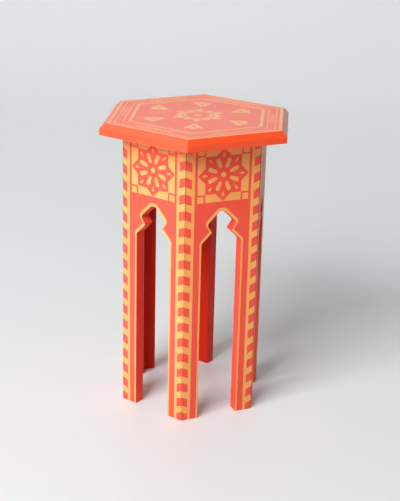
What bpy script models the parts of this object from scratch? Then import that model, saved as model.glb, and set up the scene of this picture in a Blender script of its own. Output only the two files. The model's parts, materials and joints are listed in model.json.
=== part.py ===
"""Six-sided side table of painted board, in metres with +Z up.

Six arched panels are mitred together into a hollow body, with a loose spline in each mitre. A block in each
inside corner is screwed to its two panels and carries one long screw up into the top, a six-sided board with a
chamfered edge. The origin is on the floor, under the middle of the table, and the front corner points to -Y.
"""

from math import acos, atan2, cos, pi, radians, sin, tan

import bmesh
import bpy
from mathutils import Matrix, Vector

# The table top
HEIGHT = 0.500  # floor to the upper face of the top
TOP_ACROSS_FLATS = 0.300
TOP_THICKNESS = 0.019
TOP_CHAMFER = 0.0085  # cut at 45 degrees round the upper edge
TOP_TURN = radians(2.4)  # the top is fixed this far out of line with the body

# The panels, seen from outside
PANEL_WIDTH = 0.130  # from mitre tip to mitre tip
PANEL_THICKNESS = 0.019
LEG_WIDTH = 0.030  # from a mitre tip to the opening
APRON_DEPTH = 0.1125  # from the top edge down to the flat of the arch
ARCH_FLAT = 0.008  # width of the flat at the top of the arch
SHOULDER_INSET = 0.009  # the arch's shoulders stand this far inside its jambs
NOTCH_DEPTH = 0.0095  # the arch comes back in this far under each shoulder
NOTCH_HEIGHT = 0.0130  # from a shoulder down to the cusp under it
FLAT_ROUND = 0.003
SHOULDER_ROUND = 0.004
CUSP_ROUND = 0.002
JAMB_ROUND = 0.003
EASED_EDGE = 0.0006  # the painted boards have their edges broken by this much

# The splines in the mitres
SPLINE_THICKNESS = 0.004
SPLINE_WIDTH = 0.012
SPLINE_INSET = 0.012  # from the outer corner to the middle of the spline, along the mitre
SPLINE_STOP = 0.020  # from each end of a panel to the end of its groove

# The blocks in the inside corners
BLOCK_HEIGHT = 0.030
BLOCK_REACH = 0.030  # along each of the two panels that it joins
BLOCK_END = 0.010  # thickness at its ends
BLOCK_NIP = 0.003  # taken off its corner along each panel, to clear the glue in the mitre

# The screws up into the top, one through each block
TOP_SCREW_RADIUS = 0.0020
TOP_SCREW_HEAD_RADIUS = 0.0040
TOP_SCREW_HEAD_HEIGHT = 0.0026
TOP_SCREW_SET = 0.0125  # from the block's corner to the screw
TOP_SCREW_PLAY = 0.0008  # room round the screw in the block, to line up the top
TOP_SCREW_COVER = 0.0065  # board left above the screw's tip

# The screws from each block into its two panels
BLOCK_SCREW_RADIUS = 0.00175
BLOCK_SCREW_HEAD_RADIUS = 0.0035
BLOCK_SCREW_HEAD_HEIGHT = 0.0022
BLOCK_SCREW_ALONG = 0.020  # from the block's corner to the screw, along the panel
BLOCK_SCREW_SEAT = 0.012  # from the panel to the screw head's seat
BLOCK_SCREW_COVER = 0.006  # board left outside the screw's tip
BLOCK_SCREW_PLAY = 0.0004
COUNTERBORE_PLAY = 0.0008

# The shape that both kinds of screw share
SCREW_TIP = 0.004  # length of the point
HEAD_RIM_SHARE = 0.45  # upright part of a head, of its height
HEAD_CROWN_SHARE = 0.75  # flat part of a head, of its radius
SLOT_SHARE = 0.6  # each arm of the cross slot, of the head's diameter
SLOT_WIDTH = 0.0009
SLOT_DEPTH = 0.0012

# Fits
GAP = 0.0003  # between faces that touch
PILOT_CLEARANCE = 0.00015  # round a screw in its pilot hole

# Facets
ARC_STEPS = 4
ROUND_SIDES = 12
EASE_ANGLE = radians(40)  # edges flatter than this are left as they are
FLAT_ANGLE = radians(1)  # faces flatter than this become one
WELD = 1e-6

CORNERS = ("front", "right_front", "right_back", "back", "left_back", "left_front")
PANELS = ("front_right", "right", "back_right", "back_left", "left", "front_left")
SIDE_NAMES = {-1: "left", 1: "right"}
SIDE_ANGLE = 2 * pi / len(CORNERS)
MITRE = SIDE_ANGLE / 2  # between a mitre and the square cut across a panel

PANEL_HEIGHT = HEIGHT - TOP_THICKNESS - GAP
APOTHEM = PANEL_WIDTH / 2 / tan(MITRE)  # from the middle of the table to a panel's outer face
OUTER_CORNER = PANEL_WIDTH / 2 / sin(MITRE)
INNER_CORNER = OUTER_CORNER - PANEL_THICKNESS / cos(MITRE)
BLOCK_CORNER = INNER_CORNER - GAP / cos(MITRE)
BLOCK_BOTTOM = PANEL_HEIGHT - BLOCK_HEIGHT
BLOCK_MIDDLE = PANEL_HEIGHT - BLOCK_HEIGHT / 2
BLOCK_SCREW_LENGTH = BLOCK_SCREW_SEAT + GAP + PANEL_THICKNESS - BLOCK_SCREW_COVER
TOP_SCREW_LENGTH = BLOCK_HEIGHT + GAP + TOP_THICKNESS - TOP_SCREW_COVER
PAST = 0.005  # cutters run on this far beyond the faces that they cut

for leftover in list(bpy.data.objects):
    bpy.data.objects.remove(leftover)

parts = bpy.data.collections.new("side_table")
cutters = bpy.data.collections.new("cutters")
bpy.context.scene.collection.children.link(parts)
bpy.context.scene.collection.children.link(cutters)
table = bpy.data.objects.new("side_table_origin", None)
parts.objects.link(table)


def material(name, colour, roughness, metallic=0.0):
    """A plain finish with a linear colour."""
    made = bpy.data.materials.new(name)
    made.use_nodes = True
    shader = made.node_tree.nodes["Principled BSDF"]
    shader.inputs["Base Color"].default_value = (*colour, 1.0)
    shader.inputs["Roughness"].default_value = roughness
    shader.inputs["Metallic"].default_value = metallic
    return made


def turned(point, angle):
    """A point turned about the middle of the table."""
    return Matrix.Rotation(angle, 3, "Z") @ Vector(point)


def add_part(name, mesh, finish, location=(0, 0, 0), rotation=(0, 0, 0)):
    """One sub-part of the table, which may share its mesh with others like it."""
    part = bpy.data.objects.new(name, mesh)
    part.parent = table
    part.location = location
    part.rotation_euler = rotation
    if not mesh.materials:
        mesh.materials.append(finish)
    parts.objects.link(part)
    return part


def add_cutter(name, mesh, location=(0, 0, 0), rotation=(0, 0, 0)):
    """A shape that only cuts others."""
    cutter = bpy.data.objects.new(name, mesh)
    cutter.location = location
    cutter.rotation_euler = rotation
    cutter.hide_render = True
    cutter.display_type = "WIRE"
    cutters.objects.link(cutter)
    return cutter


def cut(piece, cutter):
    """Cut one shape away from another."""
    boolean = piece.modifiers.new(cutter.name, "BOOLEAN")
    boolean.operation = "DIFFERENCE"
    boolean.object = cutter


def ease_edges(piece):
    """Break the sharp edges, and leave the small steps of the rounds alone."""
    bevel = piece.modifiers.new("eased_edges", "BEVEL")
    bevel.width = EASED_EDGE
    bevel.segments = 1
    bevel.limit_method = "ANGLE"
    bevel.angle_limit = EASE_ANGLE


def finished_mesh(draft):
    """The mesh of a draft with its modifiers worked in. The draft is removed."""
    bpy.context.view_layer.update()
    graph = bpy.context.evaluated_depsgraph_get()
    mesh = bpy.data.meshes.new_from_object(draft.evaluated_get(graph))
    mesh.name = draft.name
    bpy.data.objects.remove(draft)
    return mesh


def outline_mesh(name, points, thickness):
    """A flat outline in X and Y, filled and given an even thickness about Z = 0."""
    curve = bpy.data.curves.new(name, "CURVE")
    curve.dimensions = "2D"
    curve.fill_mode = "BOTH"
    curve.extrude = thickness / 2
    spline = curve.splines.new("POLY")
    spline.points.add(len(points) - 1)
    for spot, (x, y) in zip(spline.points, points):
        spot.co = (x, y, 0, 1)
    spline.use_cyclic_u = True
    draft = bpy.data.objects.new(name, curve)
    cutters.objects.link(draft)
    mesh = finished_mesh(draft)
    shape = bmesh.new()
    shape.from_mesh(mesh)
    bmesh.ops.remove_doubles(shape, verts=shape.verts, dist=WELD)
    bmesh.ops.dissolve_limit(shape, angle_limit=FLAT_ANGLE, verts=shape.verts, edges=shape.edges)
    bmesh.ops.recalc_face_normals(shape, faces=shape.faces)
    shape.to_mesh(mesh)
    shape.free()
    return mesh


def box_mesh(name, size, centre=(0, 0, 0)):
    """A box of the given size."""
    mesh = bpy.data.meshes.new(name)
    shape = bmesh.new()
    place = Matrix.Translation(centre) @ Matrix.Diagonal((*size, 1))
    bmesh.ops.create_cube(shape, size=1, matrix=place)
    shape.to_mesh(mesh)
    shape.free()
    return mesh


def rod_mesh(name, radius, start, end, sides=ROUND_SIDES):
    """A round rod along Z from start to end."""
    mesh = bpy.data.meshes.new(name)
    shape = bmesh.new()
    place = Matrix.Translation((0, 0, (start + end) / 2))
    bmesh.ops.create_cone(
        shape, cap_ends=True, segments=sides, radius1=radius, radius2=radius, depth=end - start, matrix=place
    )
    shape.to_mesh(mesh)
    shape.free()
    return mesh


def rounded(corners):
    """The outline through (x, y, radius) corners, with each corner rounded to its radius."""
    outline = []
    for index, (x, y, radius) in enumerate(corners):
        corner = Vector((x, y))
        if not radius:
            outline.append(corner)
            continue
        before = (Vector(corners[index - 1][:2]) - corner).normalized()
        after = (Vector(corners[(index + 1) % len(corners)][:2]) - corner).normalized()
        half = acos(before.dot(after)) / 2
        centre = corner + (before + after).normalized() * radius / sin(half)
        first = corner + before * radius / tan(half) - centre
        swing = (pi - 2 * half) * (1 if before.cross(after) < 0 else -1)
        start = atan2(first.y, first.x)
        for step in range(ARC_STEPS + 1):
            angle = start + swing * step / ARC_STEPS
            outline.append(centre + radius * Vector((cos(angle), sin(angle))))
    return outline


def arch_outline():
    """The opening of a panel, from below the floor up to the flat of the arch and down again."""
    jamb = PANEL_WIDTH / 2 - LEG_WIDTH
    shoulder = jamb - SHOULDER_INSET
    cusp = shoulder - NOTCH_DEPTH
    flat = ARCH_FLAT / 2
    flat_z = PANEL_HEIGHT - APRON_DEPTH
    shoulder_z = flat_z - (shoulder - flat)
    cusp_z = shoulder_z - NOTCH_HEIGHT
    jamb_z = cusp_z - (jamb - cusp)
    half = [
        (jamb, -PAST, 0),
        (jamb, jamb_z, JAMB_ROUND),
        (cusp, cusp_z, CUSP_ROUND),
        (shoulder, shoulder_z, SHOULDER_ROUND),
        (flat, flat_z, FLAT_ROUND),
    ]
    return rounded(half + [(-x, y, radius) for x, y, radius in reversed(half)])


def panel_plan():
    """A panel seen from above, with its outer face towards -Y and its ends cut to the mitres."""
    glue = GAP / 2 / cos(MITRE)
    outer = PANEL_WIDTH / 2 - glue
    inner = outer - PANEL_THICKNESS * tan(MITRE)
    front, back = -APOTHEM, -APOTHEM + PANEL_THICKNESS
    return [(-outer, front), (outer, front), (inner, back), (-inner, back)]


def along_panel(side):
    """The way along a panel from the corner at -Y, on its left (-1) or right (1)."""
    return Vector((side * cos(MITRE), sin(MITRE), 0))


def into_room(side):
    """The way from that panel's inner face towards the middle of the table."""
    return Vector((-side * sin(MITRE), cos(MITRE), 0))


def block_point(side, along, inward, height=0.0):
    """A point on the block in the corner at -Y, from its corner along a panel and in from that panel."""
    point = along * along_panel(side) + inward * into_room(side)
    return Vector((0, -BLOCK_CORNER, height)) + point


def block_plan():
    """A corner block seen from above."""
    right = [
        block_point(1, BLOCK_NIP, 0),
        block_point(1, BLOCK_REACH, 0),
        block_point(1, BLOCK_REACH, BLOCK_END),
    ]
    outline = right + [Vector((-point.x, point.y, 0)) for point in reversed(right)]
    return [(point.x, point.y) for point in outline]


def screw_into_panel(side, angle=0.0):
    """Where a block screw's head seats and which way it points, with its corner turned from -Y by an angle."""
    seat = block_point(side, BLOCK_SCREW_ALONG, BLOCK_SCREW_SEAT, BLOCK_MIDDLE)
    facing = turned(-into_room(side), angle).to_track_quat("Z", "Y").to_euler()
    return turned(seat, angle), facing


def panel_mesh():
    """A panel in its own frame, with the arch, a spline groove in each mitre and its two pilot holes."""
    draft = bpy.data.objects.new("panel", outline_mesh("panel", panel_plan(), PANEL_HEIGHT))
    draft.location.z = PANEL_HEIGHT / 2
    cutters.objects.link(draft)

    depth = PANEL_THICKNESS + 2 * PAST
    arch = outline_mesh("arch_cutter", arch_outline(), depth)
    middle = -APOTHEM + PANEL_THICKNESS / 2
    cut(draft, add_cutter("arch_cutter", arch, (0, middle, 0), (pi / 2, 0, 0)))
    ease_edges(draft)

    groove_size = (SPLINE_WIDTH + 2 * GAP, SPLINE_THICKNESS + 2 * GAP, PANEL_HEIGHT - 2 * SPLINE_STOP)
    groove = box_mesh("groove_cutter", groove_size, spline_centre())
    pilot_start = BLOCK_SCREW_SEAT + GAP - PAST
    pilot_radius = BLOCK_SCREW_RADIUS + PILOT_CLEARANCE
    pilot = rod_mesh("panel_pilot_cutter", pilot_radius, pilot_start, BLOCK_SCREW_LENGTH + GAP)
    for side in (-1, 1):
        name = SIDE_NAMES[side]
        angle = -side * MITRE
        cut(draft, add_cutter(f"groove_cutter_{name}", groove, rotation=(0, 0, angle)))
        seat, facing = screw_into_panel(side, angle)
        cut(draft, add_cutter(f"panel_pilot_cutter_{name}", pilot, seat, facing))

    mesh = finished_mesh(draft)
    mesh.transform(Matrix.Translation((0, 0, PANEL_HEIGHT / 2)))
    return mesh


def spline_centre():
    """The middle of the spline in the corner at -Y."""
    return (0, -OUTER_CORNER + SPLINE_INSET, PANEL_HEIGHT / 2)


def block_mesh():
    """A corner block for the corner at -Y, drilled for its three screws."""
    draft = bpy.data.objects.new("corner_block", outline_mesh("corner_block", block_plan(), BLOCK_HEIGHT))
    draft.location.z = BLOCK_MIDDLE
    cutters.objects.link(draft)
    top_radius = TOP_SCREW_RADIUS + TOP_SCREW_PLAY
    top_hole = rod_mesh("top_screw_hole_cutter", top_radius, -PAST, BLOCK_HEIGHT + PAST)
    cut(draft, add_cutter("top_screw_hole_cutter", top_hole, top_screw_seat()))
    hole_radius = BLOCK_SCREW_RADIUS + BLOCK_SCREW_PLAY
    hole = rod_mesh("block_screw_hole_cutter", hole_radius, -PAST, BLOCK_SCREW_SEAT + PAST)
    bore_radius = BLOCK_SCREW_HEAD_RADIUS + COUNTERBORE_PLAY
    bore = rod_mesh("counterbore_cutter", bore_radius, -BLOCK_REACH, 0)
    for side in (-1, 1):
        seat, facing = screw_into_panel(side)
        name = SIDE_NAMES[side]
        cut(draft, add_cutter(f"block_screw_hole_cutter_{name}", hole, seat, facing))
        cut(draft, add_cutter(f"counterbore_cutter_{name}", bore, seat, facing))
    mesh = finished_mesh(draft)
    mesh.transform(Matrix.Translation((0, 0, BLOCK_MIDDLE)))
    return mesh


def top_screw_seat():
    """Where the top screw's head meets the underside of the block in the corner at -Y."""
    return Vector((0, -BLOCK_CORNER + TOP_SCREW_SET, BLOCK_BOTTOM))


def screw_mesh(name, length, radius, head_radius, head_height):
    """A pan-head screw along +Z, with its head's seat at Z = 0 and a cross slot in the head."""
    crown = HEAD_CROWN_SHARE * head_radius
    rim = HEAD_RIM_SHARE * head_height
    profile = [
        (0, length),
        (radius, length - SCREW_TIP),
        (radius, 0),
        (head_radius, 0),
        (head_radius, -rim),
        (crown, -head_height),
        (0, -head_height),
    ]
    mesh = bpy.data.meshes.new(name)
    edges = [(index, index + 1) for index in range(len(profile) - 1)]
    mesh.from_pydata([(x, 0, z) for x, z in profile], edges, [])
    draft = bpy.data.objects.new(name, mesh)
    cutters.objects.link(draft)
    turning = draft.modifiers.new("turned", "SCREW")
    turning.axis = "Z"
    turning.steps = ROUND_SIDES
    turning.render_steps = ROUND_SIDES
    turning.use_merge_vertices = True
    turning.merge_threshold = WELD
    arm = 2 * head_radius * SLOT_SHARE
    depth = SLOT_DEPTH + PAST
    middle = (0, 0, -head_height + SLOT_DEPTH - depth / 2)
    for way, size in (("x", (arm, SLOT_WIDTH, depth)), ("y", (SLOT_WIDTH, arm, depth))):
        slot = box_mesh(f"{name}_slot_{way}", size, middle)
        cut(draft, add_cutter(f"{name}_slot_{way}", slot))
    return finished_mesh(draft)


def top_mesh():
    """The top board about Z = 0 at its underside, with corners on -Y and +Y and a chamfered upper edge."""
    mesh = bpy.data.meshes.new("top_board")
    shape = bmesh.new()
    corner = TOP_ACROSS_FLATS / 2 / cos(MITRE)
    place = Matrix.Translation((0, 0, TOP_THICKNESS / 2))
    made = bmesh.ops.create_cone(
        shape,
        cap_ends=True,
        segments=len(CORNERS),
        radius1=corner,
        radius2=corner,
        depth=TOP_THICKNESS,
        matrix=place,
    )
    upper = {spot for spot in made["verts"] if spot.co.z > TOP_THICKNESS / 2}
    rim = [edge for edge in shape.edges if set(edge.verts) <= upper]
    bmesh.ops.bevel(shape, geom=rim, offset=TOP_CHAMFER, offset_type="OFFSET", segments=1, affect="EDGES")
    shape.to_mesh(mesh)
    shape.free()
    return mesh


def add_panels(finish):
    """The six sides of the body."""
    mesh = panel_mesh()
    for index, name in enumerate(PANELS):
        add_part(f"panel_{name}", mesh, finish, rotation=(0, 0, MITRE + index * SIDE_ANGLE))


def add_corner_joints(block_finish, spline_finish, screw_finish):
    """The spline, block and block screws of each corner."""
    spline_size = (SPLINE_WIDTH, SPLINE_THICKNESS, PANEL_HEIGHT - 2 * (SPLINE_STOP + GAP))
    spline = box_mesh("mitre_spline", spline_size, spline_centre())
    block = block_mesh()
    screw = screw_mesh(
        "block_screw", BLOCK_SCREW_LENGTH, BLOCK_SCREW_RADIUS, BLOCK_SCREW_HEAD_RADIUS, BLOCK_SCREW_HEAD_HEIGHT
    )
    for index, name in enumerate(CORNERS):
        angle = index * SIDE_ANGLE
        add_part(f"mitre_spline_{name}", spline, spline_finish, rotation=(0, 0, angle))
        add_part(f"corner_block_{name}", block, block_finish, rotation=(0, 0, angle))
        for side in (-1, 1):
            seat, facing = screw_into_panel(side, angle)
            add_part(f"block_screw_{name}_{SIDE_NAMES[side]}", screw, screw_finish, seat, facing)


def add_top(finish, screw_finish):
    """The top board and the six screws that hold it down."""
    top = add_part("top_board", top_mesh(), finish, (0, 0, HEIGHT - TOP_THICKNESS), (0, 0, TOP_TURN))
    ease_edges(top)
    screw = screw_mesh(
        "top_screw", TOP_SCREW_LENGTH, TOP_SCREW_RADIUS, TOP_SCREW_HEAD_RADIUS, TOP_SCREW_HEAD_HEIGHT
    )
    pilot_radius = TOP_SCREW_RADIUS + PILOT_CLEARANCE
    pilot = rod_mesh("top_pilot_cutter", pilot_radius, BLOCK_HEIGHT, TOP_SCREW_LENGTH + GAP)
    for index, name in enumerate(CORNERS):
        seat = turned(top_screw_seat(), index * SIDE_ANGLE)
        cut(top, add_cutter(f"top_pilot_cutter_{name}", pilot, seat))
        add_part(f"top_screw_{name}", screw, screw_finish, seat)


red_paint = material("red_paint", (0.80, 0.095, 0.050), 0.35)
beech = material("beech", (0.55, 0.33, 0.16), 0.60)
plywood = material("plywood", (0.60, 0.42, 0.24), 0.65)
zinc = material("zinc_plate", (0.62, 0.61, 0.58), 0.30, 1.0)
add_panels(red_paint)
add_corner_joints(beech, plywood, zinc)
add_top(red_paint, zinc)
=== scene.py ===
import json
from math import cos, radians, sin, sqrt

import bmesh
import bpy
from mathutils import Matrix, Vector

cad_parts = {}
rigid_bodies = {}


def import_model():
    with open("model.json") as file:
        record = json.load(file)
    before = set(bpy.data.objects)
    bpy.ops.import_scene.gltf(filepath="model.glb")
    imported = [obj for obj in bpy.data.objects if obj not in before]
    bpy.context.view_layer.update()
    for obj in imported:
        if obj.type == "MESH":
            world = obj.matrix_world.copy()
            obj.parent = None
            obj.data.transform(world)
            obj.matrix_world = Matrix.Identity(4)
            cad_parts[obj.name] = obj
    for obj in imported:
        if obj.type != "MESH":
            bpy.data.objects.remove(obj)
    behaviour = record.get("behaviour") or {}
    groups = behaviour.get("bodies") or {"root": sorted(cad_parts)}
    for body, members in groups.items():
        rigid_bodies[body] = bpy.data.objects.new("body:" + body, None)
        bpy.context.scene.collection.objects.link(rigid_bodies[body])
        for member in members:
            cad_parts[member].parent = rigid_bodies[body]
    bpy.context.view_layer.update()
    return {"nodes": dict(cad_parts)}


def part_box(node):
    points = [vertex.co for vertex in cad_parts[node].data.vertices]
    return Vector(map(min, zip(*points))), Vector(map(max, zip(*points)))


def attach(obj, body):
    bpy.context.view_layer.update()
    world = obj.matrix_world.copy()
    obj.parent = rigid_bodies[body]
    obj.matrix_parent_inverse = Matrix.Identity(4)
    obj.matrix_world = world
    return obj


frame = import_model()
boards = frame["nodes"]

# Panels
# The six panels are fibreboard, cut to shape, sprayed coral red and glued together at their mitres.
# The paint clouds and has a fine orange peel. Outer faces are lacquered, and inner ones get a deeper red
# that paints in the shade inside the table.
coral = (0.92, 0.094, 0.054, 1)
coral_thin = (0.90, 0.083, 0.046, 1)
# Painted shade: the faces inside the table take this darker red, for the shade that falls there.
inside_shade_coral = (0.64, 0.030, 0.012, 1)
coral_gloss = (0.34, 0.44)
coral_shine = 0.06
face_lacquer = 0.40
face_lacquer_roughness = 0.38
paint_clouds = (14, 4)
gloss_clouds = (55, 3)
orange_peel = (420, 2)
peel_depth = 0.00002
noise_least = 0.30
noise_most = 0.70
side_on = 0.55
face_on = 0.75


def noise(tree, lumps_per_metre, detail, stretch=(1, 1, 1)):
    """Noise on the piece's own coordinates, with so many lumps to the metre."""
    place = tree.nodes.new("ShaderNodeTexCoord")
    mapping = tree.nodes.new("ShaderNodeMapping")
    mapping.inputs["Scale"].default_value = stretch
    tree.links.new(place.outputs["Object"], mapping.inputs["Vector"])
    lumps = tree.nodes.new("ShaderNodeTexNoise")
    lumps.inputs["Scale"].default_value = lumps_per_metre
    lumps.inputs["Detail"].default_value = detail
    tree.links.new(mapping.outputs["Vector"], lumps.inputs["Vector"])
    return lumps.outputs["Fac"]


def ramp(tree, value, start, end, low, high):
    """A number that runs from low to high as another one runs from start to end, and stops there."""
    spread = tree.nodes.new("ShaderNodeMapRange")
    for name, number in (("From Min", start), ("From Max", end), ("To Min", low), ("To Max", high)):
        spread.inputs[name].default_value = number
    tree.links.new(value, spread.inputs["Value"])
    return spread.outputs["Result"]


def between(tree, share, low, high):
    """A number that runs from low to high as the noise goes from its usual least to its usual most."""
    return ramp(tree, share, noise_least, noise_most, low, high)


def blend_colours(tree, share, first, second):
    """Runs from the first colour to the second. Each is a colour, or another node's output."""
    mix = tree.nodes.new("ShaderNodeMix")
    mix.data_type = "RGBA"
    tree.links.new(between(tree, share, 0, 1), mix.inputs["Factor"])
    for name, colour in (("A", first), ("B", second)):
        socket = next(s for s in mix.inputs if s.name == name and s.type == "RGBA")
        if isinstance(colour, tuple):
            socket.default_value = colour
        else:
            tree.links.new(colour, socket)
    return next(s for s in mix.outputs if s.type == "RGBA")


def roughen(tree, shader, height, depth):
    """Raises the surface by the noise, so many metres from its lowest to its highest."""
    bump = tree.nodes.new("ShaderNodeBump")
    bump.inputs["Strength"].default_value = 1
    bump.inputs["Distance"].default_value = depth
    tree.links.new(height, bump.inputs["Height"])
    tree.links.new(bump.outputs["Normal"], shader.inputs["Normal"])


def new_finish(name):
    material = bpy.data.materials.new(name)
    material.use_nodes = True
    return material, material.node_tree, material.node_tree.nodes["Principled BSDF"]


def satin_paint(name, colour, thin_colour, gloss, shine):
    material, tree, shader = new_finish(name)
    clouds = noise(tree, *paint_clouds)
    tree.links.new(blend_colours(tree, clouds, colour, thin_colour), shader.inputs["Base Color"])
    tree.links.new(between(tree, noise(tree, *gloss_clouds), *gloss), shader.inputs["Roughness"])
    roughen(tree, shader, noise(tree, *orange_peel), peel_depth)
    shader.inputs["Specular IOR Level"].default_value = shine
    return material


def coat_and_shade_by_side(material, inside_shade_colour, coat, roughness):
    """Lacquers the faces that look outwards, and paints shade on those that look towards the table's middle
    with a deeper colour.
    """
    tree = material.node_tree
    place = tree.nodes.new("ShaderNodeTexCoord")
    level = tree.nodes.new("ShaderNodeVectorMath")
    level.operation = "MULTIPLY"
    level.inputs[1].default_value = (1, 1, 0)
    tree.links.new(place.outputs["Object"], level.inputs[0])
    outward = tree.nodes.new("ShaderNodeVectorMath")
    outward.operation = "NORMALIZE"
    tree.links.new(level.outputs["Vector"], outward.inputs[0])
    facing = tree.nodes.new("ShaderNodeVectorMath")
    facing.operation = "DOT_PRODUCT"
    tree.links.new(outward.outputs["Vector"], facing.inputs[0])
    tree.links.new(place.outputs["Normal"], facing.inputs[1])
    # Painted shade: the share of the deeper inside colour grows as a face looks further inwards.
    inward_shade = ramp(tree, facing.outputs["Value"], -side_on, -face_on, 0, 1)
    shader = tree.nodes["Principled BSDF"]
    outer = shader.inputs["Base Color"].links[0].from_socket
    coats_and_inner_shade = blend_colours(tree, inward_shade, outer, inside_shade_colour)
    tree.links.new(coats_and_inner_shade, shader.inputs["Base Color"])
    outside_only = ramp(tree, facing.outputs["Value"], side_on, face_on, 0, coat)
    tree.links.new(outside_only, shader.inputs["Coat Weight"])
    shader.inputs["Coat Roughness"].default_value = roughness


def finish(piece, material):
    """Gives a piece or a board its finish, in place of any that it came with."""
    piece.data.materials.clear()
    piece.data.materials.append(material)


coral_paint = satin_paint("coral_paint", coral, coral_thin, coral_gloss, coral_shine)
coat_and_shade_by_side(coral_paint, inside_shade_coral, face_lacquer, face_lacquer_roughness)
panel_sides = ("front_right", "right", "back_right", "back_left", "left", "front_left")
for side in panel_sides:
    finish(boards[f"panel_{side}"], coral_paint)

# Top board
# The top is one six-sided board with a chamfer round it, sprayed a little more orange than the panels.
# It takes the wear, so its lacquer is thicker.
top_coral = (0.95, 0.090, 0.020, 1)
top_coral_thin = (0.92, 0.080, 0.016, 1)
top_shine = 0.22
thick_lacquer = 0.55
lacquer_roughness = 0.22


def lacquer(material, thickness):
    shader = material.node_tree.nodes["Principled BSDF"]
    shader.inputs["Coat Weight"].default_value = thickness
    shader.inputs["Coat Roughness"].default_value = lacquer_roughness


top_paint = satin_paint("top_paint", top_coral, top_coral_thin, coral_gloss, top_shine)
lacquer(top_paint, thick_lacquer)
finish(boards["top_board"], top_paint)

# Lines round the arches
# Each arch has a line of ochre along its opening, laid on the red through a stencil, as all the ochre is.
# It is widest round the head and thin under the shoulders. Its two edges are drawn flat and joined.
ochre = (0.97, 0.435, 0.130, 1)
ochre_thin = (0.90, 0.365, 0.102, 1)
ochre_gloss = (0.34, 0.46)
ochre_shine = 0.22
thin_lacquer = 0.08
film_thickness = 0.00016
film_height = 0.00004
panel_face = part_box("panel_right")[1].x
panel_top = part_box("panel_right")[1].z
eased_edge = 0.0006
foot_edge = 0.0008
head_line = 0.0047
shoulder_line = 0.0018
arm_line = 0.0040
jamb_line = 0.0028
arch_corners = (
    (0.0040, 0.3682),
    (0.0260, 0.3462),
    (0.0165, 0.3332),
    (0.0350, 0.3147),
)
arch_rounding = (0.0028, 0.0062, 0, 0.0028)
arc_steps = 5
side_step = 360 / len(panel_sides)
stand_up = Matrix.Rotation(radians(90), 4, "X")
ochre_paint = satin_paint("ochre_paint", ochre, ochre_thin, ochre_gloss, ochre_shine)
lacquer(ochre_paint, thin_lacquer)


def clean_sheet(name):
    """An empty drawing in edit mode, to which shapes are added at their places."""
    bpy.ops.object.select_all(action="DESELECT")
    bpy.ops.mesh.primitive_plane_add(size=1)
    drawing = bpy.context.object
    drawing.name = name
    bpy.ops.object.mode_set(mode="EDIT")
    bpy.ops.mesh.select_mode(type="VERT")
    bpy.ops.mesh.delete(type="VERT")
    return drawing


def select_points(drawing, test):
    bpy.ops.mesh.select_mode(type="VERT")
    bpy.ops.mesh.select_all(action="DESELECT")
    mesh = bmesh.from_edit_mesh(drawing.data)
    for point in mesh.verts:
        point.select_set(test(point.co))
    mesh.select_flush(True)
    bmesh.update_edit_mesh(drawing.data)


def select_faces(drawing, test):
    bpy.ops.mesh.select_mode(type="FACE")
    bpy.ops.mesh.select_all(action="DESELECT")
    mesh = bmesh.from_edit_mesh(drawing.data)
    for face in mesh.faces:
        face.select_set(test(face.calc_center_median()))
    bmesh.update_edit_mesh(drawing.data)


def select_at(drawing, place):
    """Selects the points of a flat drawing that lie at one place."""
    spot = Vector((*place, film_height))
    select_points(drawing, lambda point: (point - spot).length < film_height)


def draw_outline(drawing, corners, rounding):
    """A flat face drawn from corner to corner, whose corners are then rounded back by the lengths given."""
    bpy.ops.mesh.select_mode(type="VERT")
    start = Vector((*corners[0], film_height))
    bpy.ops.mesh.primitive_plane_add(size=eased_edge, location=start)
    bpy.ops.mesh.merge(type="CENTER")
    for here, there in zip(corners, corners[1:]):
        step = (there[0] - here[0], there[1] - here[1], 0)
        bpy.ops.mesh.extrude_region_move(TRANSFORM_OT_translate={"value": step})
    bpy.ops.mesh.select_linked()
    bpy.ops.mesh.edge_face_add()
    for corner, length in zip(corners, rounding):
        if length:
            select_at(drawing, corner)
            bpy.ops.mesh.bevel(offset=length, segments=arc_steps, affect="VERTICES")


def outside(corners, distances):
    """The corners of the outline that runs beside an open one, so far to the left of each of its lines."""
    lines = []
    for here, there, distance in zip(corners, corners[1:], distances):
        along = Vector((there[0] - here[0], there[1] - here[1])).normalized()
        left = Vector((-along.y, along.x))
        lines.append((Vector(here) + left * distance, along))
    moved = [tuple(lines[0][0])]
    for (first, along), (second, onward) in zip(lines, lines[1:]):
        gap = second - first
        reach = gap.cross(onward) / along.cross(onward)
        moved.append(tuple(first + along * reach))
    last_step = Vector(corners[-1]) - Vector(corners[-2])
    moved.append(tuple(lines[-1][0] + last_step))
    return moved


def thicken(drawing, thickness):
    """Closes a flat drawing into a solid that lies half to each side of it."""
    bpy.ops.object.mode_set(mode="OBJECT")
    solid = drawing.modifiers.new("solid", "SOLIDIFY")
    solid.thickness = thickness
    solid.offset = 0
    bpy.ops.object.modifier_apply(modifier=solid.name)


def lay_film(drawing):
    """Makes a flat drawing a coat of paint, a little of it sunk in the board."""
    thicken(drawing, film_thickness)
    finish(drawing, ochre_paint)


def fix_paint(piece):
    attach(piece, "root")


def copy_of(drawing, name):
    piece = drawing.copy()
    piece.data = drawing.data.copy()
    piece.name = name
    bpy.context.collection.objects.link(piece)
    return piece


def paint_on_panels(drawing, askew=()):
    """Stands a copy of a flat drawing against each panel, askew on some, and removes the drawing."""
    stood = Matrix.Translation((0, -panel_face, 0)) @ stand_up
    for place, side in enumerate(panel_sides):
        piece = copy_of(drawing, f"{drawing.name}_{side}")
        if side in askew:
            turn_askew(piece)
        piece.data.transform(Matrix.Rotation(radians(side_step * (place + 0.5)), 4, "Z") @ stood)
        fix_paint(piece)
    bpy.data.objects.remove(drawing)


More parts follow.
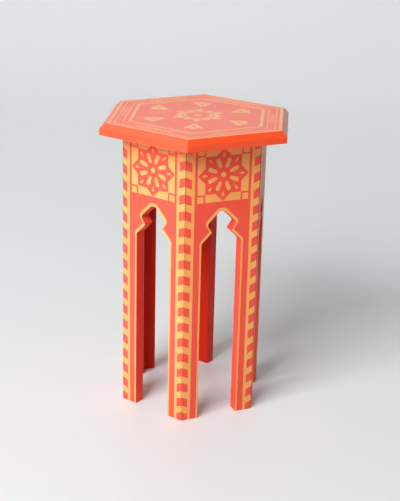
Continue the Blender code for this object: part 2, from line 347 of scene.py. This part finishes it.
arch_line = clean_sheet("arch_line")
half_rounding = [*arch_rounding, 0]
line_widths = (head_line, head_line, shoulder_line, arm_line, jamb_line)
inner_edge = [eased_edge] * len(line_widths)
outer_edge = [eased_edge + width for width in line_widths]
for distances, below_foot in ((inner_edge, -jamb_line), (outer_edge, -2 * jamb_line)):
    half_opening = [(0, arch_corners[0][1]), *arch_corners, (arch_corners[-1][0], below_foot)]
    half_edge = outside(half_opening, distances)[1:]
    other_half = [(-x, y) for x, y in reversed(half_edge)]
    bpy.ops.mesh.select_all(action="DESELECT")
    draw_outline(arch_line, half_edge + other_half, half_rounding + half_rounding[::-1])
bpy.ops.mesh.select_all(action="SELECT")
bpy.ops.mesh.delete(type="ONLY_FACE")
bpy.ops.mesh.select_all(action="SELECT")
bpy.ops.mesh.bridge_edge_loops()
bpy.ops.mesh.select_all(action="SELECT")
bpy.ops.mesh.bisect(plane_co=(0, foot_edge, 0), plane_no=(0, 1, 0), clear_inner=True)
lay_film(arch_line)
paint_on_panels(arch_line)

# Chevron bands at the mitres
# Along both edges of each panel runs an ochre stripe, and outside it slanted ochre bars on the red.
# The bars meet those of the next panel as chevrons that point up, and the paint turns over the arris.
band_inner = 0.0491
stripe_outer = 0.0540
askew_panels = ("front_left",)
askew_turn = radians(-0.31)
askew_centre = (0, 0.150, 0)
corner_reach = 0.0650
mitre_gap = 0.0003
bar_pitch = 0.02756
bar_height = 0.0120
lowest_bar = 0.0166
bar_slope = 0.45
panel_edge = corner_reach - mitre_gap / sqrt(3)
arris_start = panel_edge - eased_edge
arris_end = panel_edge - eased_edge * cos(radians(side_step))
arris_drop = eased_edge * sin(radians(side_step))
weld_reach = film_height / 10


def add_sheet(low, high):
    """A plain flat face between two corners."""
    middle = ((low[0] + high[0]) / 2, (low[1] + high[1]) / 2, film_height)
    bpy.ops.mesh.primitive_plane_add(size=1, location=middle)
    bpy.ops.transform.resize(value=(high[0] - low[0], high[1] - low[1], 1), center_override=middle)


def score(point, across):
    """Cuts the selected faces along a line through a point, square to the direction across."""
    bpy.ops.mesh.bisect(plane_co=(*point, 0), plane_no=(*across, 0), threshold=weld_reach)


def height_at_corner(place):
    return place.y + bar_slope * (corner_reach - place.x)


def between_bars(middle):
    if middle.x < stripe_outer:
        return False
    return (height_at_corner(middle) - lowest_bar) % bar_pitch > bar_height


def turn_askew(piece):
    """Turns a drawing slightly about a point low on its panel, all but what lies along the arrises."""
    bpy.context.view_layer.objects.active = piece
    bpy.ops.object.mode_set(mode="EDIT")
    select_points(piece, lambda point: abs(point.x) < arris_start - film_height)
    bpy.ops.transform.rotate(value=askew_turn, orient_axis="Z", center_override=askew_centre)
    bpy.ops.object.mode_set(mode="OBJECT")


bands = clean_sheet("chevron_bands")
add_sheet((band_inner, foot_edge), (arris_end, panel_top - foot_edge))
score((stripe_outer, 0), (1, 0))
bar_count = int((panel_top - lowest_bar) / bar_pitch) + 1
for bar in range(bar_count):
    foot = lowest_bar + bar * bar_pitch
    for height in (foot, foot + bar_height):
        bpy.ops.mesh.select_all(action="SELECT")
        score((corner_reach, height), (-bar_slope, 1))
bpy.ops.mesh.select_all(action="SELECT")
score((arris_start, 0), (1, 0))
select_faces(bands, between_bars)
bpy.ops.mesh.delete(type="FACE")
select_points(bands, lambda point: point.x > (arris_start + arris_end) / 2)
bpy.ops.transform.translate(value=(0, 0, -arris_drop))
bpy.ops.object.mode_set(mode="OBJECT")
other_edge = bands.modifiers.new("other edge", "MIRROR")
other_edge.use_mirror_merge = False
bpy.ops.object.modifier_apply(modifier=other_edge.name)
lay_film(bands)
paint_on_panels(bands, askew_panels)

# Frames of the stars
# Above each arch a square ochre frame holds an eight-pointed star, which is left in the red of the board.
# The star's points cut the frame into eight tapered bars, and thin red lines part off its corner squares.
star_centre = Vector((0, 0.4293))
frame_half = 0.0445
frame_inner = 0.0313
star_reach = 0.0443
corner_line = 0.0028
corner_gap = 0.0003
nearly_flat = radians(1)


def on_frame(middle):
    x = abs(middle.x - star_centre.x)
    y = abs(middle.y - star_centre.y)
    long_way, short_way = max(x, y), min(x, y)
    in_corner = short_way > frame_inner - corner_gap
    on_corner_line = in_corner and short_way < frame_inner + corner_line
    return long_way > frame_inner and x + y > star_reach and not on_corner_line


star_frame = clean_sheet("star_frame")
to_frame_corner = Vector((frame_half, frame_half))
add_sheet(star_centre - to_frame_corner, star_centre + to_frame_corner)
cuts = []
for across in ((1, 0), (-1, 0), (0, 1), (0, -1)):
    for distance in (frame_inner - corner_gap, frame_inner, frame_inner + corner_line):
        cuts.append((across, distance))
for across in ((1, 1), (1, -1), (-1, 1), (-1, -1)):
    cuts.append((across, star_reach / sqrt(2)))
for across, distance in cuts:
    bpy.ops.mesh.select_all(action="SELECT")
    score(star_centre + Vector(across).normalized() * distance, across)
select_faces(star_frame, lambda middle: not on_frame(middle))
bpy.ops.mesh.delete(type="FACE")
bpy.ops.mesh.select_all(action="SELECT")
bpy.ops.mesh.dissolve_limited(angle_limit=nearly_flat)
lay_film(star_frame)
paint_on_panels(star_frame, askew_panels)

# Flowers in the stars
# Inside each star are a round dot, eight long petals with blunt ends, and a small drop in each point.
# One petal is shaped from a round and one drop from a kite, and the others are turned copies of them.
dot_radius = 0.0043
petal_start = 0.0120
petal_end = 0.0286
petal_inner_radius = 0.0028
petal_outer_radius = 0.0036
drop_corners = ((0, 0.0266), (0.0023, 0.0336), (0.0014, 0.0360), (-0.0014, 0.0360), (-0.0023, 0.0336))
drop_rounding = (0, 0.0014, 0.0010, 0.0010, 0.0014)
round_sides = 20
points_of_star = 8


def add_round(radius, place, sides=round_sides):
    """A flat face with so many equal sides, whose corners lie at the radius."""
    bpy.ops.mesh.primitive_circle_add(
        vertices=sides, radius=radius, fill_type="NGON", location=(*place, film_height)
    )


def turn_copies(count, centre):
    """Repeats what is selected round a centre, until there are so many in all."""
    bpy.ops.mesh.spin(
        steps=count - 1,
        dupli=True,
        angle=radians(360) * (count - 1) / count,
        center=(*centre, film_height),
        axis=(0, 0, 1),
    )


def turn_selected(angle, centre):
    bpy.ops.transform.rotate(
        value=angle, orient_axis="Z", center_override=(*centre, film_height)
    )


flower = clean_sheet("star_flower")
petal_middle = star_centre + Vector((0, petal_end - petal_outer_radius))
add_round(petal_outer_radius, petal_middle)
select_points(flower, lambda point: point.y < petal_middle.y - film_height)
inner_share = petal_inner_radius / petal_outer_radius
bpy.ops.transform.resize(
    value=(inner_share, inner_share, 1), center_override=(*petal_middle, film_height)
)
petal_length = petal_end - petal_outer_radius - petal_start - petal_inner_radius
bpy.ops.transform.translate(value=(0, -petal_length, 0))
bpy.ops.mesh.select_all(action="SELECT")
turn_selected(radians(180) / points_of_star, star_centre)
turn_copies(points_of_star, star_centre)

drop = [(star_centre.x + x, star_centre.y + y) for x, y in drop_corners]
bpy.ops.mesh.select_all(action="DESELECT")
draw_outline(flower, drop, drop_rounding)
select_at(flower, drop[0])
bpy.ops.mesh.select_linked()
turn_copies(points_of_star, star_centre)

bpy.ops.mesh.select_all(action="DESELECT")
add_round(dot_radius, star_centre)
lay_film(flower)
paint_on_panels(flower, askew_panels)

# Open mitres
# The mitres have opened a little at the top. A dark wedge in each groove paints the shade in the gap as a
# line that runs out downwards.
# One thin wedge is drawn flat, stood in the groove of a corner and copied round to all six.
# Painted shade: these dark colours stand for the shade inside the open joint.
mitre_shade_dark = (0.070, 0.022, 0.014, 1)
mitre_shade_pale = (0.110, 0.038, 0.022, 1)
open_width = 0.0012
open_foot = 0.270
open_front = 0.12985
open_depth = 0.0005
mitre_shade_clouds = (300, 3)
mitre_shade_roughness = 0.6

corners = ("front", "right_front", "right_back", "back", "left_back", "left_front")
painted_mitre_shade, mitre_shade_tree, mitre_shade_shader = new_finish("painted_mitre_shade")
mitre_shade_tint = blend_colours(mitre_shade_tree, noise(mitre_shade_tree, *mitre_shade_clouds), mitre_shade_dark, mitre_shade_pale)
mitre_shade_tree.links.new(mitre_shade_tint, mitre_shade_shader.inputs["Base Color"])
mitre_shade_shader.inputs["Roughness"].default_value = mitre_shade_roughness
open_mitre = clean_sheet("open_mitre")
open_top = panel_top - foot_edge
wedge = ((-open_width / 2, open_top), (0, open_foot), (open_width / 2, open_top))
draw_outline(open_mitre, wedge, (0, 0, 0))
thicken(open_mitre, open_depth)
finish(open_mitre, painted_mitre_shade)
in_groove = Matrix.Translation((0, open_depth / 2 - open_front, 0)) @ stand_up
for place, corner in enumerate(corners):
    piece = copy_of(open_mitre, f"open_mitre_{corner}")
    piece.data.transform(Matrix.Rotation(radians(side_step * place), 4, "Z") @ in_groove)
    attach(piece, "root")
bpy.data.objects.remove(open_mitre)

# Splines in the mitres
# A strip of plywood is glued into grooves in each pair of mitred edges, and keeps the corner in line.
# Its face veneer has a fine upright grain, with the odd darker streak.
birch = (0.62, 0.44, 0.25, 1)
birch_streak = (0.47, 0.30, 0.15, 1)
birch_pores = 900
birch_roughness = (0.55, 0.70)
upright = (1, 1, 0.06)
grain_lines = (160, 4)
pore_detail = 2
pore_depth = 0.00006


def bare_wood(name, colour, streak, pores_per_metre, roughness):
    material, tree, shader = new_finish(name)
    grain = blend_colours(tree, noise(tree, *grain_lines, upright), colour, streak)
    pores = noise(tree, pores_per_metre, pore_detail, upright)
    tree.links.new(blend_colours(tree, pores, grain, streak), shader.inputs["Base Color"])
    tree.links.new(between(tree, pores, *roughness), shader.inputs["Roughness"])
    roughen(tree, shader, pores, pore_depth)
    return material


birch_ply = bare_wood("birch_ply", birch, birch_streak, birch_pores, birch_roughness)
for corner in corners:
    finish(boards[f"mitre_spline_{corner}"], birch_ply)

# Corner blocks
# Six sawn beech blocks sit in the inside corners, just under the top, and are left bare.
# Two screws hold each to its panels, and a third goes up through it into the top.
beech = (0.58, 0.36, 0.19, 1)
beech_fleck = (0.40, 0.21, 0.095, 1)
beech_pores = 520
beech_roughness = (0.58, 0.75)
bare_beech = bare_wood("bare_beech", beech, beech_fleck, beech_pores, beech_roughness)
for corner in corners:
    finish(boards[f"corner_block_{corner}"], bare_beech)

# Screws
# Zinc-plated wood screws with cross-slotted heads, sunk in counterbores in the blocks.
# The plating is dull and a little straw-coloured in places, with fine scratches.
zinc = (0.66, 0.66, 0.65, 1)
straw_zinc = (0.60, 0.55, 0.44, 1)
zinc_patches = (260, 3)
zinc_roughness = (0.28, 0.44)
scratches = (2600, 2, (1, 1, 0.2))
scratch_depth = 0.00001

zinc_plate, zinc_tree, zinc_shader = new_finish("zinc_plate")
zinc_tint = blend_colours(zinc_tree, noise(zinc_tree, *zinc_patches), zinc, straw_zinc)
zinc_tree.links.new(zinc_tint, zinc_shader.inputs["Base Color"])
zinc_shader.inputs["Metallic"].default_value = 1
zinc_scratches = noise(zinc_tree, *scratches)
zinc_tree.links.new(between(zinc_tree, zinc_scratches, *zinc_roughness), zinc_shader.inputs["Roughness"])
roughen(zinc_tree, zinc_shader, zinc_scratches, scratch_depth)
for corner in corners:
    finish(boards[f"top_screw_{corner}"], zinc_plate)
    for hand in ("left", "right"):
        finish(boards[f"block_screw_{corner}_{hand}"], zinc_plate)

# Lines on the top
# One ochre line runs round the rim of the top and one frames its middle, both under the top's lacquer.
# Both follow the sides of the top, which was screwed on a little out of line with the body.
top_ochre = satin_paint("top_ochre", ochre, ochre_thin, ochre_gloss, ochre_shine)
lacquer(top_ochre, thick_lacquer)
top_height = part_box("top_board")[1].z
top_turn = radians(2.4)
stencil_slip = (0.0013, 0.0005)
rim_line = (0.1395, 0.1347)
middle_line = (0.1083, 0.1035)
top_centre = (0, 0)
top_sides = 6


def paint_on_top(drawing):
    """Lays a flat drawing on the top, turned as the top is, and lacquers it."""
    finish(drawing, top_ochre)
    drawing.data.transform(
        Matrix.Translation((*stencil_slip, top_height)) @ Matrix.Rotation(top_turn, 4, "Z")
    )
    fix_paint(drawing)


def hollow_out(line):
    """Leaves only a line of this width along the edges of the selected face."""
    bpy.ops.mesh.select_mode(type="FACE")
    bpy.ops.mesh.inset(thickness=line, use_even_offset=True)
    bpy.ops.mesh.delete(type="FACE")


def six_sided_line(name, outer, inner):
    """A line round six sides, from one distance to another from the centre to the sides."""
    drawing = clean_sheet(name)
    add_round(outer / cos(radians(side_step / 2)), top_centre, top_sides)
    hollow_out(outer - inner)
    lay_film(drawing)
    paint_on_top(drawing)


six_sided_line("top_rim_line", *rim_line)
six_sided_line("top_middle_line", *middle_line)

# Borders of the top
# Between those lines run two thin ones, with a chain of lozenges between them in the middle of each side.
# The chain is cut short in its last lozenges. One is drawn and turned round the top to the other five sides.
outer_thin_line = (0.1296, 0.1279)
inner_thin_line = (0.1166, 0.1149)
lozenge_corners = 4
lozenge_count = 5
lozenge_pitch = 0.0180
lozenge_length = 0.0178
lozenge_width = 0.0096
lozenge_line = 0.0014
chain_half = 0.0355

six_sided_line("top_outer_thin_line", *outer_thin_line)
six_sided_line("top_inner_thin_line", *inner_thin_line)
borders = clean_sheet("top_borders")
strip_middle = (outer_thin_line[1] + inner_thin_line[0]) / 2
first_lozenge = -lozenge_pitch * (lozenge_count - 1) / 2
lozenge_place = (strip_middle, first_lozenge)
add_round(lozenge_width / 2, lozenge_place, lozenge_corners)
bpy.ops.transform.resize(
    value=(1, lozenge_length / lozenge_width, 1), center_override=(*lozenge_place, film_height)
)
hollow_out(lozenge_line)
bpy.ops.mesh.select_all(action="SELECT")
for lozenge in range(1, lozenge_count):
    bpy.ops.mesh.duplicate_move(TRANSFORM_OT_translate={"value": (0, lozenge_pitch, 0)})
for end in (-1, 1):
    bpy.ops.mesh.select_all(action="SELECT")
    bpy.ops.mesh.bisect(plane_co=(0, end * chain_half, 0), plane_no=(0, end, 0), clear_outer=True)
bpy.ops.mesh.select_all(action="SELECT")
turn_copies(top_sides, top_centre)
lay_film(borders)
paint_on_top(borders)

# Leaves on the top
# Six leaves stand round the middle, each with its stalk inwards, three lobes outwards and a red slit.
# Half a leaf is drawn twice, the second time mirrored, and the whole is turned to the six corners.
half_leaf = (
    (0, 0.0590),
    (0.0058, 0.0672),
    (0.0095, 0.0755),
    (0.0158, 0.0850),
    (0.0150, 0.0935),
    (0.0078, 0.0890),
    (0.0049, 0.0925),
    (0, 0.0975),
    (0, 0.0865),
    (0.0030, 0.0795),
    (0, 0.0715),
)
leaf_rounding = (0, 0.0030, 0.0035, 0.0045, 0.0035, 0.0018, 0.0025, 0, 0, 0.0020, 0)

leaves = clean_sheet("top_leaves")
draw_outline(leaves, half_leaf, leaf_rounding)
bpy.ops.mesh.select_all(action="DESELECT")
draw_outline(leaves, [(-x, y) for x, y in half_leaf], leaf_rounding)
bpy.ops.mesh.select_all(action="SELECT")
bpy.ops.mesh.remove_doubles(threshold=weld_reach)
turn_copies(top_sides, top_centre)
lay_film(leaves)
paint_on_top(leaves)

# Rosette on the top
# Six lobes and six broad petals stand round an ochre ring in the middle, with a small ring inside it.
# The lobes point to the corners of the top, and the petals to its sides.
wide_ring = (0.0238, 0.0203)
small_ring = (0.0066, 0.0020)
ring_sides = 60
half_lobe = ((0, 0.0255), (0.0050, 0.0275), (0.0082, 0.0350), (0.0040, 0.0405), (0, 0.0465))
lobe_rounding = (0, 0.0015, 0.0040, 0.0025, 0)
half_petal = ((0, 0.0252), (0.0070, 0.0263), (0.0084, 0.0318), (0.0042, 0.0362), (0, 0.0378))
petal_rounding = (0, 0.0018, 0.0028, 0.0020, 0)

rosette = clean_sheet("top_rosette")
shapes = ((half_lobe, lobe_rounding, 0), (half_petal, petal_rounding, radians(side_step / 2)))
for half, rounding, turn in shapes:
    bpy.ops.mesh.select_all(action="DESELECT")
    whole = [*half, *[(-x, y) for x, y in half[-2:0:-1]]]
    draw_outline(rosette, whole, [*rounding, *rounding[-2:0:-1]])
    select_at(rosette, half[0])
    bpy.ops.mesh.select_linked()
    if turn:
        turn_selected(turn, top_centre)
    turn_copies(top_sides, top_centre)
for outer, inner in (wide_ring, small_ring):
    bpy.ops.mesh.select_mode(type="VERT")
    bpy.ops.mesh.select_all(action="DESELECT")
    add_round(outer, top_centre, ring_sides)
    hollow_out(outer - inner)
lay_film(rosette)
paint_on_top(rosette)

# Floor and backdrop
# The table stands on pale, slightly glossy seamless paper, which sweeps up behind it.
# Other light lifts its shadows, most at the back, and a patch on the left that glows only in reflections
# paints a sheen on the lacquer.
paper_white = (0.73, 0.75, 0.76, 1)
near_glow = 0.06
far_glow = 0.23
near_edge = -0.2
far_edge = 2.4
paper_half = 6.0
paper_back = 3.2
sweep_radius = 1.2
sweep_steps = 24
fold_reach = 0.01
paper_roughness = 0.42
white_light = (1, 1, 1, 1)
wall_height = 5.0
# Painted reflection: this patch of paper glows only where it is seen in reflections, and puts a sheen on the
# panels that face it.
bright_patch = (-0.70, -0.37, 0)
patch_inner = 0.47
patch_outer = 0.74
patch_glow = 2.9


def seen_or_mirrored(tree):
    """One where a surface is looked at, itself or in a reflection, and nought where it lights another."""
    ray = tree.nodes.new("ShaderNodeLightPath")
    looked_at = ray.outputs["Is Camera Ray"]
    for kind in ("Is Glossy Ray", "Is Transmission Ray"):
        either = tree.nodes.new("ShaderNodeMath")
        either.operation = "MAXIMUM"
        tree.links.new(looked_at, either.inputs[0])
        tree.links.new(ray.outputs[kind], either.inputs[1])
        looked_at = either.outputs["Value"]
    return looked_at


bpy.ops.object.select_all(action="DESELECT")
bpy.ops.mesh.primitive_plane_add(size=2 * paper_half)
floor = bpy.context.object
floor.name = "paper"
bpy.ops.object.mode_set(mode="EDIT")
select_points(floor, lambda point: point.y > 0)
bpy.ops.transform.translate(value=(0, paper_back - paper_half, 0))
bpy.ops.mesh.extrude_region_move(TRANSFORM_OT_translate={"value": (0, 0, wall_height)})
bpy.ops.mesh.select_mode(type="EDGE")
bpy.ops.mesh.select_all(action="DESELECT")
sheet = bmesh.from_edit_mesh(floor.data)
for edge in sheet.edges:
    middle = (edge.verts[0].co + edge.verts[1].co) / 2
    edge.select_set(abs(middle.y - paper_back) < fold_reach and abs(middle.z) < fold_reach)
bmesh.update_edit_mesh(floor.data)
bpy.ops.mesh.bevel(offset=sweep_radius, segments=sweep_steps, affect="EDGES")
bpy.ops.object.mode_set(mode="OBJECT")
bpy.ops.object.shade_smooth()
paper_finish, paper_tree, paper_shader = new_finish("seamless_paper")
paper_place = paper_tree.nodes.new("ShaderNodeTexCoord")
paper_depth = paper_tree.nodes.new("ShaderNodeSeparateXYZ")
paper_tree.links.new(paper_place.outputs["Object"], paper_depth.inputs["Vector"])
glow = ramp(paper_tree, paper_depth.outputs["Y"], near_edge, far_edge, near_glow, far_glow)
lift = paper_tree.nodes.new("ShaderNodeMath")
lift.operation = "MULTIPLY"
paper_tree.links.new(glow, lift.inputs[0])
paper_tree.links.new(seen_or_mirrored(paper_tree), lift.inputs[1])
from_patch = paper_tree.nodes.new("ShaderNodeVectorMath")
from_patch.operation = "DISTANCE"
from_patch.inputs[1].default_value = bright_patch
paper_tree.links.new(paper_place.outputs["Object"], from_patch.inputs[0])
patch = ramp(paper_tree, from_patch.outputs["Value"], patch_outer, patch_inner, 0, patch_glow)
paper_ray = paper_tree.nodes.new("ShaderNodeLightPath")
sheen = paper_tree.nodes.new("ShaderNodeMath")
sheen.operation = "MULTIPLY_ADD"
paper_tree.links.new(patch, sheen.inputs[0])
paper_tree.links.new(paper_ray.outputs["Is Glossy Ray"], sheen.inputs[1])
paper_tree.links.new(lift.outputs["Value"], sheen.inputs[2])
paper_tree.links.new(sheen.outputs["Value"], paper_shader.inputs["Emission Strength"])
paper_shader.inputs["Emission Color"].default_value = white_light
paper_shader.inputs["Base Color"].default_value = paper_white
paper_shader.inputs["Roughness"].default_value = paper_roughness
finish(floor, paper_finish)

# Light
# A wide soft lamp in front on the left lights the table and throws its shadow to the right.
# The room is bright above and to the left of the table, most of all in reflections, and dim on the right.
key_place = (242, 38.5, 4.0)
key_size = (2.6, 1.7)
key_power = 206
window_side = Vector((-0.55, -0.40, 0.70)).normalized()
room_bright = 0.20
room_dim = 0.02
room_from = -0.35
room_seen = 0.62
mirrored_side = Vector((-0.66, -0.02, 0.75)).normalized()
mirrored_bright = 2.1
mirrored_dim = 0.12
mirrored_from = 0.45
table_middle = Vector((0, 0, 0.25))


def soft_lamp(name, place, size, power):
    """A flat lamp that faces the table, at a turn and a lift in degrees and a distance."""
    turn, lift, distance = radians(place[0]), radians(place[1]), place[2]
    towards = Vector((cos(turn) * cos(lift), sin(turn) * cos(lift), sin(lift)))
    data = bpy.data.lights.new(name, "AREA")
    data.shape = "RECTANGLE"
    data.size, data.size_y = size
    data.energy = power
    lamp = bpy.data.objects.new(name, data)
    lamp.location = table_middle + towards * distance
    lamp.rotation_euler = towards.to_track_quat("Z", "Y").to_euler()
    bpy.context.scene.collection.objects.link(lamp)


def brighter_towards(tree, side, start, dim, bright):
    """A brightness for each direction of the room, which grows from some way round to one side."""
    direction = tree.nodes.new("ShaderNodeTexCoord")
    facing = tree.nodes.new("ShaderNodeVectorMath")
    facing.operation = "DOT_PRODUCT"
    facing.inputs[1].default_value = side
    tree.links.new(direction.outputs["Generated"], facing.inputs[0])
    return ramp(tree, facing.outputs["Value"], start, 1, dim, bright)


soft_lamp("key_lamp", key_place, key_size, key_power)
room = bpy.data.worlds.new("room")
room.use_nodes = True
room_tree = room.node_tree
lit = brighter_towards(room_tree, window_side, room_from, room_dim, room_bright)
mirrored = brighter_towards(room_tree, mirrored_side, mirrored_from, mirrored_dim, mirrored_bright)
seen = room_tree.nodes.new("ShaderNodeMix")
room_tree.links.new(seen_or_mirrored(room_tree), seen.inputs["Factor"])
room_tree.links.new(lit, seen.inputs["A"])
seen.inputs["B"].default_value = room_seen
room_ray = room_tree.nodes.new("ShaderNodeLightPath")
strength = room_tree.nodes.new("ShaderNodeMix")
room_tree.links.new(room_ray.outputs["Is Glossy Ray"], strength.inputs["Factor"])
room_tree.links.new(seen.outputs["Result"], strength.inputs["A"])
room_tree.links.new(mirrored, strength.inputs["B"])
room_tree.links.new(strength.outputs["Result"], room_tree.nodes["Background"].inputs["Strength"])
room_tree.nodes["Background"].inputs["Color"].default_value = white_light
bpy.context.scene.world = room

# Camera
# It looks down at the table from just right of its front corner, and leans a little to one side.
# Its distance and focal length give the table the perspective that it has in the photograph.
view_turn = radians(6.767)
view_lift = radians(20.174)
view_lean = radians(1.433)
view_distance = 1.9613
aim_height = 0.2614
aim_right = 0.0098
focal_pixels = 1136.47
frame_height_pixels = 501
sensor = 36

back = Vector((sin(view_turn) * cos(view_lift), -cos(view_turn) * cos(view_lift), sin(view_lift)))
level = Vector((cos(view_turn), sin(view_turn), 0))
upward = back.cross(level)
right = level * cos(view_lean) + upward * sin(view_lean)
upright_axis = upward * cos(view_lean) - level * sin(view_lean)
eye = Vector((0, 0, aim_height)) + right * aim_right + back * view_distance
camera_data = bpy.data.cameras.new("camera")
camera_data.sensor_width = sensor
camera_data.lens = focal_pixels * sensor / frame_height_pixels
camera = bpy.data.objects.new("camera", camera_data)
bpy.context.scene.collection.objects.link(camera)
camera.matrix_world = Matrix((right, upright_axis, back)).transposed().to_4x4()
camera.location = eye
bpy.context.scene.camera = camera
bpy.context.scene.view_settings.view_transform = "Standard"
